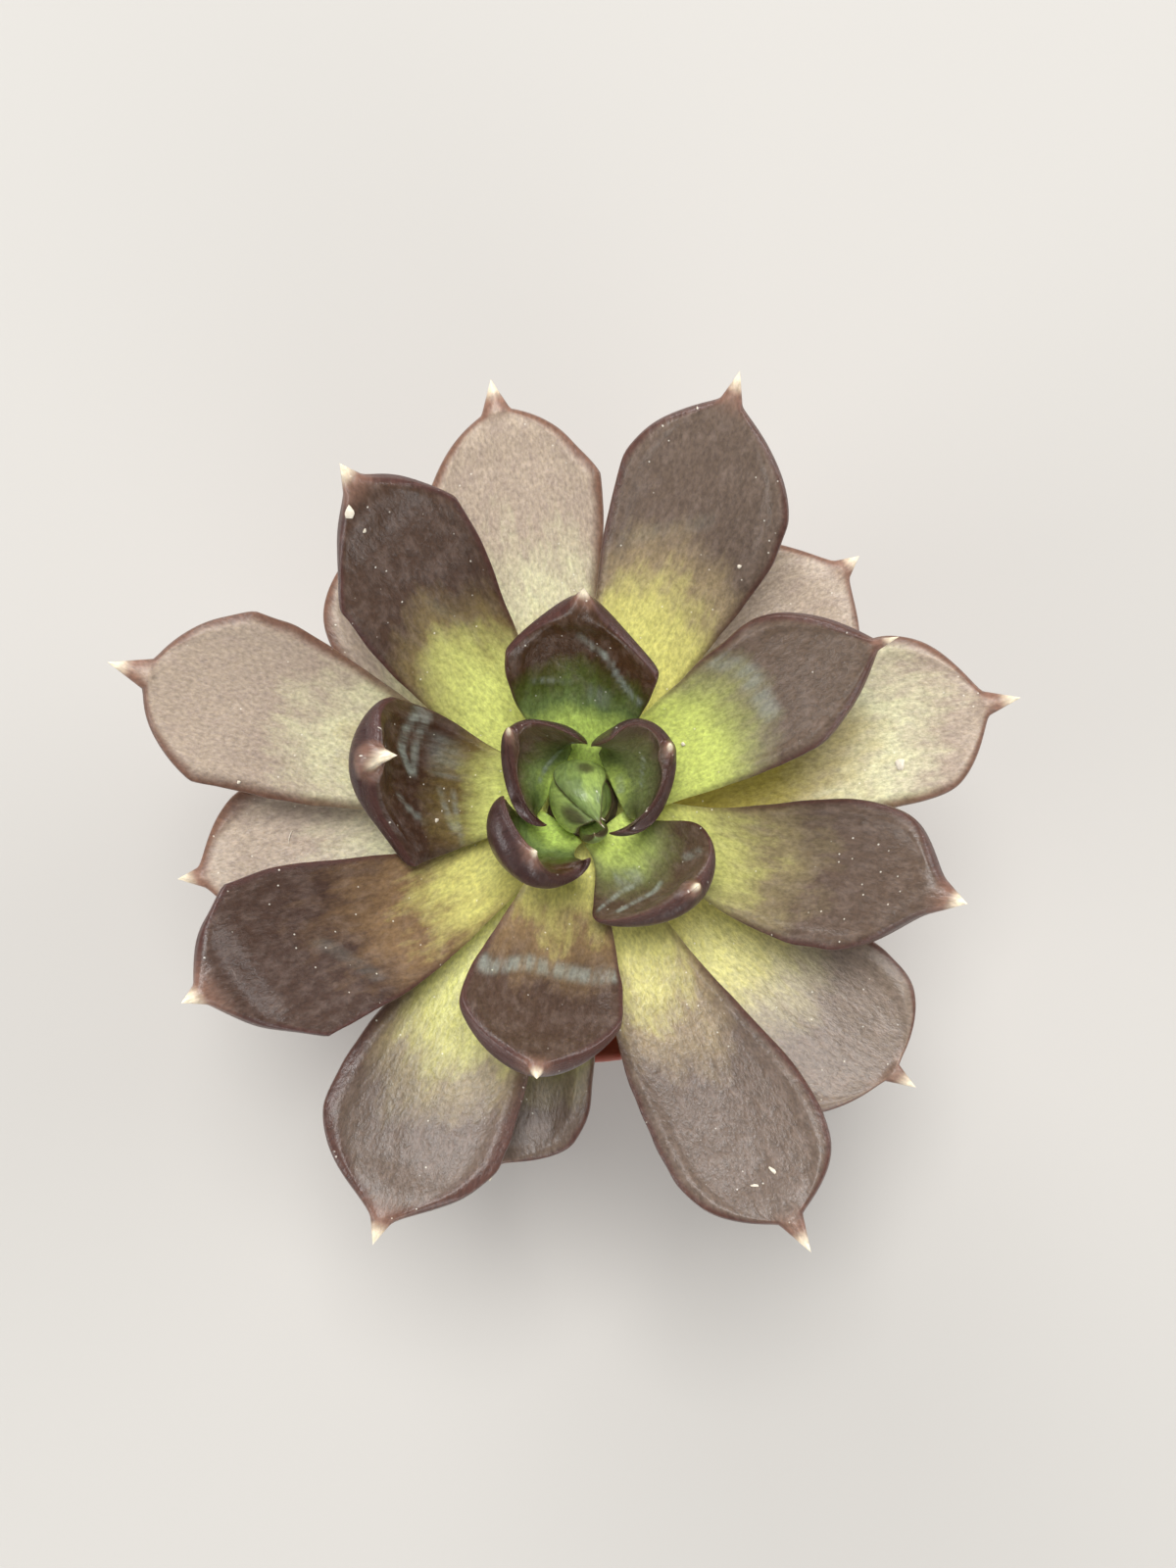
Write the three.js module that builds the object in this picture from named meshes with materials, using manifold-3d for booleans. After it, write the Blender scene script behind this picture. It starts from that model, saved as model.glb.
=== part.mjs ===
// Potted black prince echeveria: a rosette of fleshy pointed leaves on a short stem, rooted in soil in a
// small round pot. Millimetres, +Z up, origin at the middle of the pot's flat underside.
import * as THREE from 'three';
import { mergeVertices } from 'three/addons/utils/BufferGeometryUtils.js';
import Module from 'manifold-3d';

const wasm = await Module();
wasm.setup();

// Pot
const potHeight = 50;
const rimRadius = 27.5;
const rimHeight = 5.5;
const rimStep = 1.1;
const baseRadius = 18.5;
const wall = 1.1;
const drainCount = 6;
const drainRadius = 2.4;
const drainCircle = 12;
const potSides = 40;

// Soil
const soilTop = 43;
const soilCrown = 1.2;
const soilSides = 32;

// Stem
const stemFoot = 28;
const stemRadius = 4.6;
const stemTopRadius = 3.1;
const stemTop = 70;
const stemSides = 16;
const leanFrom = 53;
const lean = new THREE.Vector2(0, 1.5);

// What touches keeps this gap.
const gap = 0.3;

// The spiral: each leaf stands a golden angle round from the next younger one, and a little lower.
const goldenAngle = 137.5;
const firstAzimuth = 142;
const youngestRoot = 71;
const rootPitch = 0.85;
const rootRadius = 3.3;

// Sections of a leaf
const stations = [0, 0, 0.1, 0.22, 0.36, 0.5, 0.62, 0.72, 0.8, 0.86, 0.9, 0.93, 0.965, 1];
const sectionSides = 10;
const ribSteps = 24;
const bluntness = 0.8;
const spineStart = 0.9;

// What every leaf has unless its own row says otherwise. Lengths in mm, slopes in degrees.
const commonLeaf = {
  drift: 0,       // degrees off the spiral
  curl: 1,        // over 1 the slope changes late, near the tip
  cup: 0.03,      // how the section curves up at its margins, 1/mm
  bow: 0,         // how far the middle stands to the left of a straight line from root to tip
  hook: 0,        // how far the tip turns to the left
  slant: 0,       // how far the left margin trails behind the right one, a share of the half width
  wide: 0.7,      // share of the length where the leaf is widest
  end: 0.92,      // share of the length where the blade ends and only the spine goes on
  round: 2,       // how full the shoulders are between those two, 1 being straight
  point: 1,       // under 1 the blade ends blunt, over 1 it flares in to the spine
  root: 0.38,     // width of the root as a share of the widest
  spine: 0.18,    // width of the spine as a share of the widest
  over: 0.7,      // thickness above the margins
  under: 3,       // thickness below the margins
};

// The rosette's leaves, youngest first.
const rosetteLeaves = [
  { drift: 9.5, length: 12.1, half: 7.9, slope: [49, 65], cup: 0.22, bow: -0.5, hook: -2.7, slant: 0.75,
    wide: 0.51, end: 0.84, round: 1.2, root: 0.5, spine: 0.12, under: 1.4 },
  { drift: 20, length: 12.2, half: 9, slope: [42, 68], cup: 0.22, hook: 1.4, slant: -0.6, wide: 0.66,
    end: 0.86, round: 1.4, root: 0.42, spine: 0.12, under: 1.4 },
  { drift: 5, length: 17.7, half: 7, slope: [47, 123], curl: 1.4, cup: 0.18, bow: -1.2, hook: -0.5,
    slant: 0.7, wide: 0.64, end: 0.96, round: 1.5, spine: 0.16, under: 2 },
  { drift: -2.3, length: 25.5, half: 7.9, slope: [40, 54], cup: 0.07, bow: 0.8, hook: 0.9, slant: -0.2,
    wide: 0.64, round: 1.3, point: 1.5, root: 0.53, under: 2.2 },
  { drift: -0.7, length: 18.4, half: 7.6, slope: [25, 94], curl: 1.45, cup: 0.08, bow: 0.3, hook: 3.3,
    slant: -0.1, wide: 0.58, end: 0.9, spine: 0.17, under: 2 },
  { drift: -5.3, length: 27.2, half: 8.2, slope: [16, 115], curl: 2.4, cup: 0.024, bow: 1.5, hook: -1.2,
    slant: 0.65, wide: 0.64, round: 1.3 },
  { drift: -3.5, length: 37, half: 7.1, slope: [28, 36], cup: 0.04, bow: -1.1, hook: -3.4, slant: -0.2,
    wide: 0.64, end: 0.93, round: 1.6, root: 0.6, spine: 0.12 },
  { drift: -3.1, length: 32.6, half: 8.2, slope: [24, 66], curl: 1.3, cup: 0.04, bow: 0.7, hook: 1.9,
    slant: 0.15, end: 0.935, round: 1.6, root: 0.43 },
  { drift: -1.5, length: 42.6, half: 7.9, slope: [24, 32], bow: 3.2, hook: 3.5, slant: 0.3, wide: 0.73,
    end: 0.94, round: 1.25, root: 0.5, spine: 0.26 },
  { drift: 10, length: 39.3, half: 7.7, slope: [22, 28], bow: -4.6, hook: -6, slant: -0.4, wide: 0.66,
    round: 2.5, point: 1.5, spine: 0.28 },
  { drift: -10.6, length: 44.2, half: 8.9, slope: [20, 28], bow: 5.9, hook: 7.4, slant: 0.35, wide: 0.76,
    end: 0.95, round: 1.1, point: 0.8, spine: 0.26 },
  { drift: -2.5, length: 46.4, half: 9.1, slope: [20, 26], bow: 0.8, hook: 2.6, wide: 0.72, end: 0.93,
    round: 1.8, root: 0.32 },
  { drift: 9.6, length: 49.1, half: 8.4, slope: [14, 20], bow: -3.8, hook: -3.9, slant: -0.1, wide: 0.73,
    round: 2.2, point: 0.8, root: 0.32, spine: 0.2 },
  { drift: 4.3, length: 49, half: 9.3, slope: [12, 20], bow: 2.4, hook: 3.6, wide: 0.75, end: 0.91,
    round: 1.3, point: 0.6, root: 0.32, spine: 0.2 },
  { drift: -1, length: 44.4, half: 8.9, slope: [12, 16], hook: -1.4, wide: 0.66, round: 3.2, root: 0.42 },
  { drift: 2.4, length: 47.7, half: 9.7, slope: [10, 16], bow: -0.3, hook: 2, slant: 0.15, wide: 0.75,
    end: 0.95, round: 1.8, point: 1.2, spine: 0.21 },
  { drift: -2.9, length: 43.4, half: 9.7, slope: [10, 15], bow: 2.4, hook: 2.4, slant: 0.1, wide: 0.72,
    round: 1.1, point: 0.6, root: 0.32, spine: 0.2 },
  { drift: -4.9, length: 42.7, half: 10.5, slope: [6, 12], bow: -1.3, hook: 0.5, wide: 0.68, end: 0.93,
    round: 2.6, point: 0.6, root: 0.42, spine: 0.16 },
  { drift: 1.6, length: 40.6, half: 10, slope: [4, 10], bow: 1.6, hook: 0.7, slant: 0.2, wide: 0.67,
    end: 0.94 },
  { drift: -6.7, length: 37, half: 10.8, slope: [4, 8], bow: 0.9, wide: 0.67, end: 0.94 },
  { drift: -13.7, length: 37.6, half: 10.6, slope: [4, 7], bow: -3.7, hook: -1.8, slant: -0.3,
    wide: 0.67, end: 0.94 },
  { drift: -6.9, length: 37.1, half: 10.8, slope: [4, 7], slant: -0.2, wide: 0.67, end: 0.94 },
];

// The small leaves of the heart: two hooded ones close over the growing point, the others start beside them.
const heartRoot = 70.6;
const heartRadius = 2.9;
const heartLeafRoot = 0.9;
const heartLeaves = [
  { azimuth: 86, length: 11.8, half: 2.7, slope: [16, 215], curl: 0.9, cup: 0.14, bow: 0.5, hook: -2.4,
    wide: 0.5, end: 0.95, round: 1.6, root: 0.6, spine: 0.12, under: 1 },
  { azimuth: 200, length: 8.7, half: 3, slope: [25, 190], curl: 0.9, cup: 0.14, hook: 2.8,
    wide: 0.5, end: 0.95, round: 1.4, root: 0.6, spine: 0.12, under: 1 },
  { azimuth: 288, length: 6.3, half: 1.5, slope: [0, 120], cup: 0.2, wide: 0.5, spine: 0.1, under: 0.8 },
  { azimuth: 350, length: 5, half: 1.6, slope: [60, 120], cup: 0.2, under: 0.8 },
  { azimuth: 150, length: 5, half: 1.6, slope: [60, 120], cup: 0.2, under: 0.8 },
];

const materials = {
  pot: new THREE.MeshStandardMaterial({ color: 0xa8442c, roughness: 0.5, metalness: 0 }),
  soil: new THREE.MeshStandardMaterial({ color: 0x3a2b20, roughness: 1, metalness: 0 }),
  stem: new THREE.MeshStandardMaterial({ color: 0x7d7350, roughness: 0.8, metalness: 0 }),
  heart: new THREE.MeshStandardMaterial({ color: 0x6f8a35, roughness: 0.4, metalness: 0 }),
  youngLeaf: new THREE.MeshStandardMaterial({ color: 0x45382c, roughness: 0.35, metalness: 0 }),
  oldLeaf: new THREE.MeshStandardMaterial({ color: 0x8b7468, roughness: 0.5, metalness: 0 }),
};
const youngLeafCount = 12;

function smooth(x) {
  const c = THREE.MathUtils.clamp(x, 0, 1);
  return c * c * (3 - 2 * c);
}

// Half width of the blade at a share t of the length, as a share of the widest, without the spine.
function bladeShare(leaf, t) {
  const swell = Math.sin(0.5 * Math.PI * Math.min(t / leaf.wide, 1)) ** 2;
  const past = THREE.MathUtils.clamp((t - leaf.wide) / (leaf.end - leaf.wide), 0, 1);
  return (leaf.root + (1 - leaf.root) * swell) * (1 - past ** leaf.round) ** leaf.point;
}

// The spine's half width, as a share of the widest: it grows out of the blade and ends in a point.
function spineShare(leaf, t) {
  const taper = (1 - t) / (1 - spineStart);
  return leaf.spine * taper * smooth((t - leaf.wide) / (spineStart - leaf.wide));
}

// Thickness of the flesh at a share t of the length, as a share of the thickest.
function fleshShare(leaf, t) {
  const past = THREE.MathUtils.clamp((t - leaf.wide) / (leaf.end - leaf.wide), 0, 1);
  return (0.85 + 0.15 * smooth(t / 0.4)) * (1 - past ** 2.6) ** 0.6;
}

// Radius, height and slope of the midrib at a share t of the length, in ribSteps short steps.
function midrib(leaf, t) {
  let radius = leaf.rootRadius;
  let height = leaf.rootHeight;
  const [low, high] = leaf.slope.map(THREE.MathUtils.degToRad);
  const slopeAt = (share) => low + (high - low) * share ** leaf.curl;
  for (let i = 0; i < ribSteps; i += 1) {
    const slope = slopeAt((t * (i + 0.5)) / ribSteps);
    radius += (Math.cos(slope) * leaf.length * t) / ribSteps;
    height += (Math.sin(slope) * leaf.length * t) / ribSteps;
  }
  return { radius, height, slope: slopeAt(t) };
}

// A point of the leaf: t along it, an angle round its section from the left margin, and how far out
// from the section's middle, 0 to 1 at the skin.
function leafPoint(leaf, t, angle, out) {
  const width = leaf.half * Math.hypot(bladeShare(leaf, t), spineShare(leaf, t));
  const spineThickness = 0.8 * leaf.half * spineShare(leaf, t);
  const flesh = (Math.sin(angle) > 0 ? leaf.over : leaf.under) * fleshShare(leaf, t);
  const lift = Math.sign(Math.sin(angle)) * Math.abs(Math.sin(angle)) ** bluntness;
  const across = out * width * Math.cos(angle);
  const above = out * Math.hypot(flesh, spineThickness) * lift;

  const cup = Math.max(leaf.cup * smooth(t / 0.35), 1e-4);
  const side = Math.sin(cup * across) * (1 / cup - above);
  const up = (1 - Math.cos(cup * across)) / cup + Math.cos(cup * across) * above;
  const hook = leaf.hook * THREE.MathUtils.clamp((t - 0.6) / 0.4, 0, 1) ** 1.5;
  const sway = 4 * leaf.bow * t * (1 - t) + hook;
  const back = leaf.slant * across * smooth((t - 0.4) / 0.4);

  const rib = midrib(leaf, t);
  const radius = rib.radius - back * Math.cos(rib.slope) - up * Math.sin(rib.slope);
  const height = rib.height - back * Math.sin(rib.slope) + up * Math.cos(rib.slope);
  const azimuth = THREE.MathUtils.degToRad(leaf.azimuth);
  const root = stemCentre(leaf.rootHeight);
  return new THREE.Vector3(
    root.x + radius * Math.cos(azimuth) - (side + sway) * Math.sin(azimuth),
    root.y + radius * Math.sin(azimuth) + (side + sway) * Math.cos(azimuth),
    height,
  );
}

// The stem stands upright to leanFrom and leans from there to its top.
function stemCentre(height) {
  const share = Math.max((height - leanFrom) / (stemTop - leanFrom), 0);
  return lean.clone().multiplyScalar(share);
}

// A closed leaf: a sphere's rows become the stations, and its columns go round the section.
function leafGeometry(leaf) {
  const rows = stations.length - 1;
  const geometry = new THREE.SphereGeometry(1, sectionSides, rows);
  const position = geometry.attributes.position;
  for (let i = 0; i < position.count; i += 1) {
    const unit = new THREE.Vector3().fromBufferAttribute(position, i);
    const row = Math.round((Math.acos(THREE.MathUtils.clamp(unit.y, -1, 1)) / Math.PI) * rows);
    const out = row === 0 || row === rows ? 0 : 1;
    const point = leafPoint(leaf, stations[row], Math.atan2(unit.z, unit.x), out);
    position.setXYZ(i, point.x, point.y, point.z);
  }
  return welded(geometry);
}

// The geometry with only its positions, and vertices that coincide made one.
function welded(geometry) {
  const bare = geometry.clone();
  bare.deleteAttribute('normal');
  bare.deleteAttribute('uv');
  return mergeVertices(bare, 1e-4);
}

// The same shape with every point moved out along its normal.
function swollen(geometry, by) {
  const grown = geometry.clone();
  grown.computeVertexNormals();
  const { position, normal } = grown.attributes;
  for (let i = 0; i < position.count; i += 1) {
    const point = new THREE.Vector3().fromBufferAttribute(position, i);
    point.addScaledVector(new THREE.Vector3().fromBufferAttribute(normal, i), by);
    position.setXYZ(i, point.x, point.y, point.z);
  }
  grown.deleteAttribute('normal');
  return grown;
}

function toSolid(geometry) {
  const vertProperties = new Float32Array(geometry.attributes.position.array);
  const triVerts = new Uint32Array(geometry.index.array);
  return new wasm.Manifold(new wasm.Mesh({ numProp: 3, vertProperties, triVerts }));
}

function toGeometry(solid) {
  const { vertProperties, triVerts } = solid.getMesh();
  const geometry = new THREE.BufferGeometry();
  geometry.setAttribute('position', new THREE.BufferAttribute(vertProperties, 3));
  geometry.setIndex(new THREE.BufferAttribute(triVerts, 1));
  return geometry;
}

function largestPiece(solid) {
  const pieces = solid.decompose();
  return pieces.reduce((a, b) => (a.volume() > b.volume() ? a : b));
}

// A LatheGeometry turns about Y; this stands it on Z.
function turned(points, sides) {
  const outline = points.map(([radius, height]) => new THREE.Vector2(radius, height));
  return welded(new THREE.LatheGeometry(outline, sides).rotateX(Math.PI / 2));
}

function potGeometry() {
  const rimFoot = potHeight - rimHeight;
  const shoulder = rimRadius - rimStep;
  const wallTop = shoulder - wall;
  const shell = toSolid(turned([
    [0, 0],
    [baseRadius - 0.8, 0],
    [baseRadius, 0.8],
    [shoulder, rimFoot],
    [rimRadius - 0.2, rimFoot + 0.4],
    [rimRadius, potHeight - 0.6],
    [rimRadius - 0.4, potHeight],
    [rimRadius - wall, potHeight],
    [wallTop, rimFoot],
    [baseRadius - wall, wall + 0.6],
    [baseRadius - wall - 0.6, wall],
    [0, wall],
  ], potSides));
  const holes = [];
  for (let i = 0; i < drainCount; i += 1) {
    const angle = (2 * Math.PI * (i + 0.5)) / drainCount;
    const hole = new THREE.CylinderGeometry(drainRadius, drainRadius, 4 * wall, 12);
    hole.rotateX(Math.PI / 2);
    hole.translate(drainCircle * Math.cos(angle), drainCircle * Math.sin(angle), 0);
    holes.push(toSolid(welded(hole)));
  }
  return toGeometry(shell.subtract(wasm.Manifold.union(holes)));
}

// Inside radius of the pot's wall.
function potInside(height) {
  const foot = baseRadius - wall;
  const top = rimRadius - rimStep - wall;
  const share = (height - wall) / (potHeight - rimHeight - wall);
  return foot + (top - foot) * share;
}

// The soil fills the pot to a low mound round the stem, with a plain hole that the stem stands in.
function soilGeometry() {
  const foot = wall + gap;
  const edge = (height) => potInside(height) - gap;
  const hole = stemRadius + gap;
  const crown = soilTop + soilCrown;
  return turned([
    [0, foot],
    [edge(foot + 1) - 1, foot],
    [edge(foot + 1), foot + 1],
    [edge(soilTop), soilTop],
    [20, soilTop + 0.3],
    [12, soilTop + 0.9],
    [hole, crown],
    [hole, stemFoot - gap],
    [0, stemFoot - gap],
  ], soilSides);
}

function stemGeometry(by = 0) {
  const geometry = turned([
    [0, stemFoot - by],
    [stemRadius + by, stemFoot - by],
    [stemRadius + by, leanFrom],
    [stemTopRadius + by, stemTop - 1],
    [stemTopRadius - 0.6 + by, stemTop + by],
    [0, stemTop + by],
  ], stemSides);
  const position = geometry.attributes.position;
  for (let i = 0; i < position.count; i += 1) {
    const offset = stemCentre(position.getZ(i));
    position.setX(i, position.getX(i) + offset.x);
    position.setY(i, position.getY(i) + offset.y);
  }
  return geometry;
}

// The heart: small leaves that grow out of one dome, cut level above the top of the stem.
function heartGeometry() {
  const centre = stemCentre(heartRoot);
  const dome = new THREE.SphereGeometry(heartRadius, 14, 10);
  dome.rotateX(Math.PI / 2);
  dome.scale(1, 1, 1.3);
  dome.translate(centre.x, centre.y, heartRoot);
  const leaves = heartLeaves.map((own) => leafGeometry({
    ...commonLeaf,
    ...own,
    over: 0.3,
    rootHeight: heartRoot,
    rootRadius: heartLeafRoot,
  }));
  const grown = wasm.Manifold.union([welded(dome), ...leaves].map(toSolid));
  const below = new THREE.BoxGeometry(20, 20, 20);
  below.translate(0, 0, stemTop + gap - 10);
  return toGeometry(largestPiece(grown.subtract(toSolid(welded(below)))));
}

const echeveria = new THREE.Group();

function addPiece(name, geometry, material) {
  const mesh = new THREE.Mesh(geometry, material);
  mesh.name = name;
  echeveria.add(mesh);
}

addPiece('pot', potGeometry(), materials.pot);
addPiece('soil', soilGeometry(), materials.soil);
addPiece('stem', stemGeometry(), materials.stem);

const heart = heartGeometry();
addPiece('heart', heart, materials.heart);

// Each leaf gives way to the stem, the heart and the younger leaves that it lies under.
const inTheWay = [stemGeometry(gap), swollen(heart, gap)].map(toSolid);
rosetteLeaves.forEach((own, i) => {
  const leaf = {
    ...commonLeaf,
    ...own,
    azimuth: firstAzimuth - goldenAngle * i + own.drift,
    rootHeight: youngestRoot - rootPitch * i,
    rootRadius,
  };
  const geometry = leafGeometry(leaf);
  const solid = largestPiece(toSolid(geometry).subtract(wasm.Manifold.union(inTheWay)));
  const name = `leaf_${String(i + 1).padStart(2, '0')}`;
  addPiece(name, toGeometry(solid), i < youngLeafCount ? materials.youngLeaf : materials.oldLeaf);
  inTheWay.push(toSolid(swollen(geometry, gap)));
});

export default echeveria;
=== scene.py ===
import math
import random

import bmesh
import bpy
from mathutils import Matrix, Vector, noise


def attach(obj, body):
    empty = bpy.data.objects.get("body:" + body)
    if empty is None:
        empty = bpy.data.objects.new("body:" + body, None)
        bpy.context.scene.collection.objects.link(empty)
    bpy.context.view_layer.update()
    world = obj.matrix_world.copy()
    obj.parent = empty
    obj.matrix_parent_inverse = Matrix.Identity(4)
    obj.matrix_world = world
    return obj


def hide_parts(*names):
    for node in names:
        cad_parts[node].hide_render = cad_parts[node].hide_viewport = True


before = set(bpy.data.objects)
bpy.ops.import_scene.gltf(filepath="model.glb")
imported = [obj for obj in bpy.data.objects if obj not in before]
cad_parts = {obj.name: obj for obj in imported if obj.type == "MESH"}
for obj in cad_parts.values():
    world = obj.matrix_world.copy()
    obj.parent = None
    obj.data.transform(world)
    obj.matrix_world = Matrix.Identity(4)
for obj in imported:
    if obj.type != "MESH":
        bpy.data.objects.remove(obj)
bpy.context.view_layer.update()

mm = 0.001  # everything below is in millimetres until it goes into a mesh

# Potted black prince echeveria, seen from straight above in the photograph.
# +X is the image's right, +Y its top, +Z points at the camera; z = 0 is the pot's underside.


def linear(code):
    shares = [int(code[i:i + 2], 16) / 255 for i in (1, 3, 5)]
    return tuple(c / 12.92 if c <= 0.04045 else ((c + 0.055) / 1.055) ** 2.4 for c in shares) + (1,)


def clamp(x, low=0.0, high=1.0):
    return min(max(x, low), high)


def smooth(x):
    c = clamp(x)
    return c * c * (3 - 2 * c)


def wobble(x, y=0.0, z=0.0):
    return noise.noise(Vector((x, y, z)))  # about -1 to 1, the same each run


# Settings with a lower case first letter are the node's own, the others are its sockets.
def addNode(tree, kind, settings=None, links=None):
    node = tree.nodes.new(kind)
    for name, value in (settings or {}).items():
        if isinstance(name, str) and name[0].islower():
            setattr(node, name, value)
        else:
            node.inputs[name].default_value = value
    for name, source in (links or {}).items():
        tree.links.new(source, node.inputs[name])
    return node


def newMaterial(name):
    material = bpy.data.materials.new(name)
    material.use_nodes = True
    tree = material.node_tree
    shader = tree.nodes["Principled BSDF"]
    return material, tree, shader


# Turns a profile of (radius, height) pairs in millimetres round the upright axis.
def turnProfile(bm, profile, steps):
    ring = [bm.verts.new((radius * mm, 0, height * mm)) for radius, height in profile]
    lines = [bm.edges.new(pair) for pair in zip(ring, ring[1:])]
    bmesh.ops.spin(bm, geom=ring + lines, cent=(0, 0, 0), axis=(0, 0, 1), angle=2 * math.pi, steps=steps,
                   use_merge=True)
    bmesh.ops.remove_doubles(bm, verts=bm.verts[:], dist=1e-6)


def finishPiece(name, bm, material, node=None, shade=True):
    bmesh.ops.recalc_face_normals(bm, faces=bm.faces[:])
    for face in bm.faces:
        face.smooth = shade
    mesh = bpy.data.meshes.new(name)
    bm.to_mesh(mesh)
    bm.free()
    piece = bpy.data.objects.new(name, mesh)
    bpy.context.scene.collection.objects.link(piece)
    piece.data.materials.append(material)
    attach(piece, "root")
    if node:
        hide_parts(node)
    return piece


print("stage: leaf skin")

# Echeveria leaf skin: water-filled flesh under a waxy cuticle. The eye gets a satin sheen, brightest on the
# rolled rims, lengthwise fibre grain, a streaky change from green root to dark blade, and wax rubbed into
# arcs where the leaves pressed on each other in the bud.
leafSkin = {
    "freshRamp": ((0.0, "#cfe878"), (0.35, "#788c50"), (0.65, "#525a26"), (1.0, "#432c1a")),
    "ripeRamp": ((0.0, "#ece98e"), (0.35, "#d8d27a"), (0.65, "#7e6040"), (1.0, "#3d271d")),
    "oldRamp": ((0.0, "#a08d3c"), (0.35, "#bcad80"), (0.65, "#dedab2"), (1.0, "#b8a693")),
    "margin": "#653b28",
    "youngMargin": "#4c302c",
    "wax": "#a08d82",
    "arcWax": "#a9b3a8",
    "outside": "#3c2829",
    "blush": "#94705f",
    "spine": "#eadbc0",
    # the colour of the painted glints, bright specks that stand for sparkles of light off the wax
    "glintSpeck": "#f4efdf",
    "streakSize": (0.9, 6.0, 3.0),    # mm across, along and through a pigment streak
    "cloudSize": (3.5, 5.6, 3.0),     # mm, cloudy patches in the pigment
    "grainSize": (0.34, 0.6, 0.6),    # mm, skin grain, a little coarser than real
    "dustSize": (1.1, 2.2, 2.0),      # mm, patches of wax bloom
    "glintSpeckGap": 1.3,                  # mm between bright specks
    "roughness": 0.24,
    "dustyRoughness": 0.16,
}
waxyLeafSkin, tree, shader = newMaterial("waxyLeafSkin")
skin = addNode(tree, "ShaderNodeAttribute", {"attribute_name": "skin"}).outputs["Vector"]
along = addNode(tree, "ShaderNodeAttribute", {"attribute_name": "along"}).outputs["Fac"]
rim = addNode(tree, "ShaderNodeAttribute", {"attribute_name": "rim"}).outputs["Fac"]
turn = addNode(tree, "ShaderNodeAttribute", {"attribute_name": "turn"}).outputs["Fac"]
age = addNode(tree, "ShaderNodeAttribute", {"attribute_name": "age"}).outputs["Fac"]
fresh = addNode(tree, "ShaderNodeAttribute", {"attribute_name": "fresh"}).outputs["Fac"]
arc = addNode(tree, "ShaderNodeAttribute", {"attribute_name": "arc"}).outputs["Fac"]
outside = addNode(tree, "ShaderNodeAttribute", {"attribute_name": "outside"}).outputs["Fac"]

# Four patterns, each a noise stretched to its own size in millimetres.
patterns = {}
for name, detail in (("streak", 3), ("cloud", 4), ("grain", 4), ("dust", 5)):
    squeeze = tuple(1 / size for size in leafSkin[f"{name}Size"])
    place = addNode(tree, "ShaderNodeVectorMath", {"operation": "MULTIPLY", 1: squeeze}, {0: skin})
    patterns[name] = addNode(tree, "ShaderNodeTexNoise", {"Scale": 1.0, "Detail": detail, "Roughness": 0.6},
                             {"Vector": place.outputs[0]}).outputs[0]

# Pigment: streaks and clouds move the border between the green root and the dark blade.
streaky = addNode(tree, "ShaderNodeMath", {"operation": "MULTIPLY_ADD", 1: 0.3, 2: -0.15},
                  {0: patterns["streak"]})
cloudy = addNode(tree, "ShaderNodeMath", {"operation": "MULTIPLY_ADD", 1: 0.6, 2: -0.3},
                 {0: patterns["cloud"]})
uneven = addNode(tree, "ShaderNodeMath", {"operation": "ADD"}, {0: streaky.outputs[0], 1: cloudy.outputs[0]})
turned = addNode(tree, "ShaderNodeMath", {"operation": "ADD", "use_clamp": True},
                 {0: turn, 1: uneven.outputs[0]}).outputs[0]
pigments = []
for name in ("freshRamp", "ripeRamp", "oldRamp"):
    pigment = addNode(tree, "ShaderNodeValToRGB", None, {0: turned})
    stops = pigment.color_ramp.elements
    for place, code in leafSkin[name]:
        stop = stops[-1] if place == 1 else stops[0] if place == 0 else stops.new(place)
        stop.color = linear(code)
    pigments.append(pigment.outputs[0])
young = addNode(tree, "ShaderNodeMix", {"data_type": "RGBA"}, {0: fresh, 6: pigments[1], 7: pigments[0]})
layer = addNode(tree, "ShaderNodeMix", {"data_type": "RGBA"}, {0: age, 6: young.outputs[2], 7: pigments[2]})

# Over it lie, one after the other: wax bloom, the purple outside, wax arcs, the brown margin, the blushed
# foot of the spine and its cream point. Each is how much of it shows, and its colour.
bloomPatch = addNode(tree, "ShaderNodeMapRange", {"interpolation_type": "SMOOTHSTEP", "From Min": 0.42,
                     "From Max": 0.7}, {"Value": patterns["dust"]})
bloomPlace = addNode(tree, "ShaderNodeMapRange", {"interpolation_type": "SMOOTHSTEP", "From Min": 0.15,
                     "From Max": 0.6, "To Min": 0.15}, {"Value": turned})
bloomAge = addNode(tree, "ShaderNodeMapRange", {"To Min": 0.14, "To Max": 0.42}, {"Value": age})
bloomShare = addNode(tree, "ShaderNodeMath", {"operation": "MULTIPLY"},
                     {0: bloomPlace.outputs[0], 1: bloomAge.outputs[0]})
bloom = addNode(tree, "ShaderNodeMath", {"operation": "MULTIPLY"},
                {0: bloomPatch.outputs[0], 1: bloomShare.outputs[0]})
arcBreaks = addNode(tree, "ShaderNodeMapRange", {"interpolation_type": "SMOOTHSTEP", "From Min": 0.36,
                    "From Max": 0.6, "To Min": 0.15, "To Max": 0.62}, {"Value": patterns["streak"]})
brokenArc = addNode(tree, "ShaderNodeMath", {"operation": "MULTIPLY"}, {0: arc, 1: arcBreaks.outputs[0]})
rimWave = addNode(tree, "ShaderNodeMath", {"operation": "MULTIPLY_ADD", 1: 1.0, 2: -0.5},
                  {0: patterns["cloud"]})
rimPlace = addNode(tree, "ShaderNodeMath", {"operation": "ADD"}, {0: rim, 1: rimWave.outputs[0]})
margin = addNode(tree, "ShaderNodeMapRange", {"interpolation_type": "SMOOTHSTEP", "From Min": 0.1,
                 "From Max": 1.0, "To Min": 0.85, "To Max": 0.0},
                 {"Value": rimPlace.outputs[0]})
marginPlace = addNode(tree, "ShaderNodeMapRange", {"interpolation_type": "SMOOTHSTEP", "From Min": 0.15,
                      "From Max": 0.55, "To Min": 0.3}, {"Value": along})
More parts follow.
